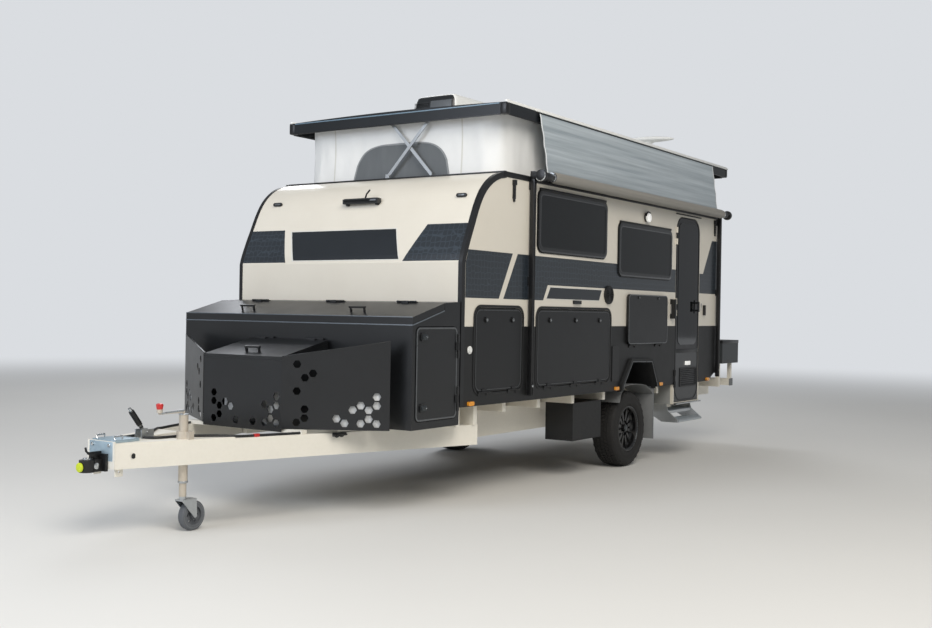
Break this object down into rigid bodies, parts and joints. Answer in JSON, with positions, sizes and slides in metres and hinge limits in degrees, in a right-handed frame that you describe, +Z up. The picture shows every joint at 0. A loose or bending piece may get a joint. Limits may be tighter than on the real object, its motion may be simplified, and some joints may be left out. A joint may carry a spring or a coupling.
{
  "type": "pop-top caravan",
  "caption": "Off-road pop-top touring caravan with lifting roof, canvas, awning, front toolbox, gas box, hatches and entry door.",
  "frame": {"origin": "middle of the footprint of the whole parked trailer, on the ground", "axes": "+X to the rear, -X to the tow coupling, -Y to the entry door side, +Z up"},
  "size_m": [8.294, 2.4989, 3.394],
  "materials": {
    "galvanised_steel": "satin",
    "coupling_steel": "satin",
    "lever_steel": "satin",
    "zinc_plate": "satin",
    "jockey_rubber": "matte",
    "suspension_paint": "satin",
    "alloy_rim": "satin",
    "tyre_rubber": "matte",
    "floor_ply": "matte",
    "liner_plastic": "matte",
    "wall_skin": "gloss",
    "cladding_sheet": "satin",
    "frame_plastic": "matte",
    "tinted_acrylic": "gloss",
    "door_leaf": "satin",
    "hatch_leaf": "satin",
    "table_laminate": "satin",
    "powder_coat": "satin",
    "roof_skin": "gloss",
    "cooler_plastic": "matte",
    "antenna_plastic": "matte",
    "canvas_cloth": "matte",
    "arm_steel": "satin",
    "awning_metal": "satin",
    "awning_roll": "matte",
    "awning_vinyl": "matte",
    "guard_plastic": "matte",
    "tank_plastic": "matte",
    "step_aluminium": "satin",
    "box_plastic": "matte",
    "fitting_plastic": "matte",
    "lamp_lens": "gloss"
  },
  "bodies": {
    "caravan": {"chassis": "galvanised_steel", "cross_members": "galvanised_steel", "drawbar": "galvanised_steel", "chain_plates": "galvanised_steel", "coupling": "coupling_steel", "handbrake": "lever_steel", "jockey_leg": "zinc_plate", "suspension_left": "suspension_paint", "suspension_right": "suspension_paint", "cabin_floor": "floor_ply", "wheel_boxes": "liner_plastic", "wall_left": "wall_skin", "wall_right": "wall_skin", "wall_front": "wall_skin", "wall_rear": "wall_skin", "body_top": "wall_skin", "lower_cladding": "cladding_sheet", "locker_liners": "liner_plastic", "window_frames": "frame_plastic", "window_glass": "tinted_acrylic", "toolbox": "powder_coat", "gas_box": "powder_coat", "stone_guard": "powder_coat", "canvas": "canvas_cloth", "lift_seats": "arm_steel", "awning_arms": "awning_metal", "awning_roller": "awning_roll", "awning_sheet": "awning_vinyl", "mud_guards": "guard_plastic", "under_boxes": "tank_plastic", "entry_step": "step_aluminium", "rear_carrier": "galvanised_steel", "rear_box": "box_plastic", "spare_tyre": "tyre_rubber", "spare_rim": "alloy_rim", "side_fittings": "fitting_plastic", "marker_lamps": "lamp_lens"},
    "wheel_left": {"rim_left": "alloy_rim", "tyre_left": "tyre_rubber"},
    "wheel_right": {"rim_right": "alloy_rim", "tyre_right": "tyre_rubber"},
    "jockey_castor": {"jockey_fork": "zinc_plate"},
    "jockey_roller": {"jockey_wheel": "jockey_rubber"},
    "door": {"entry_door": "door_leaf", "door_glass": "tinted_acrylic"},
    "boot_flap_left": {"boot_hatch_left": "hatch_leaf"},
    "boot_flap_right": {"boot_hatch_right": "hatch_leaf"},
    "kitchen_flap": {"kitchen_hatch": "hatch_leaf"},
    "table_leaf": {"picnic_table": "table_laminate"},
    "tool_lid": {"toolbox_lid": "powder_coat"},
    "tool_door_left": {"toolbox_door_left": "powder_coat"},
    "tool_door_right": {"toolbox_door_right": "powder_coat"},
    "gas_lid": {"gas_box_lid": "powder_coat"},
    "raised_roof": {"roof": "roof_skin", "roof_cooler": "cooler_plastic", "antenna": "antenna_plastic"},
    "arm_front_a": {"lift_arm_front_a": "arm_steel"},
    "arm_front_b": {"lift_arm_front_b": "arm_steel"},
    "arm_rear_a": {"lift_arm_rear_a": "arm_steel"},
    "arm_rear_b": {"lift_arm_rear_b": "arm_steel"}
  },
  "joints": [
    {"name": "roof_lift", "type": "slide", "parent": "caravan", "child": "raised_roof", "axis": [0, 0, 1], "range_m": [-0.43, 0], "deforming": ["canvas", "awning_sheet"]},
    {"name": "wheel_left_spin", "type": "hinge", "parent": "caravan", "child": "wheel_left", "pos_m": [1.386, -0.9005, 0.368], "axis": [0, 1, 0], "continuous": true},
    {"name": "wheel_right_spin", "type": "hinge", "parent": "caravan", "child": "wheel_right", "pos_m": [1.386, 1.0335, 0.368], "axis": [0, 1, 0], "continuous": true},
    {"name": "jockey_swivel", "type": "hinge", "parent": "caravan", "child": "jockey_castor", "pos_m": [-3.507, -0.14948, 0.22], "axis": [0, 0, 1], "continuous": true},
    {"name": "jockey_spin", "type": "hinge", "parent": "jockey_castor", "child": "jockey_roller", "pos_m": [-3.427, -0.14948, 0.1], "axis": [0, 1, 0], "continuous": true},
    {"name": "door_hinge", "type": "hinge", "parent": "caravan", "child": "door", "pos_m": [2.289, -1.0945, 1.5], "axis": [0, 0, -1], "range_deg": [0, 110]},
    {"name": "boot_flap_left_hinge", "type": "hinge", "parent": "caravan", "child": "boot_flap_left", "pos_m": [-1.124, -1.0945, 0.86], "axis": [1, 0, 0], "range_deg": [0, 90]},
    {"name": "boot_flap_right_hinge", "type": "hinge", "parent": "caravan", "child": "boot_flap_right", "pos_m": [-1.124, 1.2275, 0.86], "axis": [-1, 0, 0], "range_deg": [0, 90]},
    {"name": "kitchen_flap_hinge", "type": "hinge", "parent": "caravan", "child": "kitchen_flap", "pos_m": [0.128, -1.0945, 0.86], "axis": [1, 0, 0], "range_deg": [0, 90]},
    {"name": "table_hinge", "type": "hinge", "parent": "caravan", "child": "table_leaf", "pos_m": [1.577, -1.0945, 1.184], "axis": [1, 0, 0], "range_deg": [0, 90]},
    {"name": "tool_lid_hinge", "type": "hinge", "parent": "caravan", "child": "tool_lid", "pos_m": [-1.87, 0.0665, 1.546], "axis": [0, 1, 0], "range_deg": [0, 80]},
    {"name": "tool_door_left_hinge", "type": "hinge", "parent": "caravan", "child": "tool_door_left", "pos_m": [-1.707, -1.0955, 1.03], "axis": [0, 0, 1], "range_deg": [0, 95]},
    {"name": "tool_door_right_hinge", "type": "hinge", "parent": "caravan", "child": "tool_door_right", "pos_m": [-1.707, 1.2285, 1.03], "axis": [0, 0, -1], "range_deg": [0, 95]},
    {"name": "gas_lid_hinge", "type": "hinge", "parent": "caravan", "child": "gas_lid", "pos_m": [-2.273, 0.0665, 1.257], "axis": [0, 1, 0], "range_deg": [0, 70]},
    {"name": "arm_front_a_fold", "type": "hinge", "parent": "caravan", "child": "arm_front_a", "pos_m": [-1.015, 0.12676, 2.62], "axis": [1, 0, 0], "range_deg": [0, 48.2]},
    {"name": "arm_front_b_fold", "type": "hinge", "parent": "arm_front_a", "child": "arm_front_b", "pos_m": [-1.015, -0.0935, 2.85625], "axis": [1, 0, 0], "range_deg": [-96.4, 0]},
    {"name": "arm_rear_a_fold", "type": "hinge", "parent": "caravan", "child": "arm_rear_a", "pos_m": [3.439, 0.12676, 2.62], "axis": [1, 0, 0], "range_deg": [0, 48.2]},
    {"name": "arm_rear_b_fold", "type": "hinge", "parent": "arm_rear_a", "child": "arm_rear_b", "pos_m": [3.439, -0.0935, 2.85625], "axis": [1, 0, 0], "range_deg": [-96.4, 0]}
  ],
  "couplings": [
    {"joint": "arm_front_a_fold", "follows": "roof_lift", "rad_per_m": -1.9485},
    {"joint": "arm_front_b_fold", "follows": "roof_lift", "rad_per_m": 3.897},
    {"joint": "arm_rear_a_fold", "follows": "roof_lift", "rad_per_m": -1.9485},
    {"joint": "arm_rear_b_fold", "follows": "roof_lift", "rad_per_m": 3.897}
  ]
}
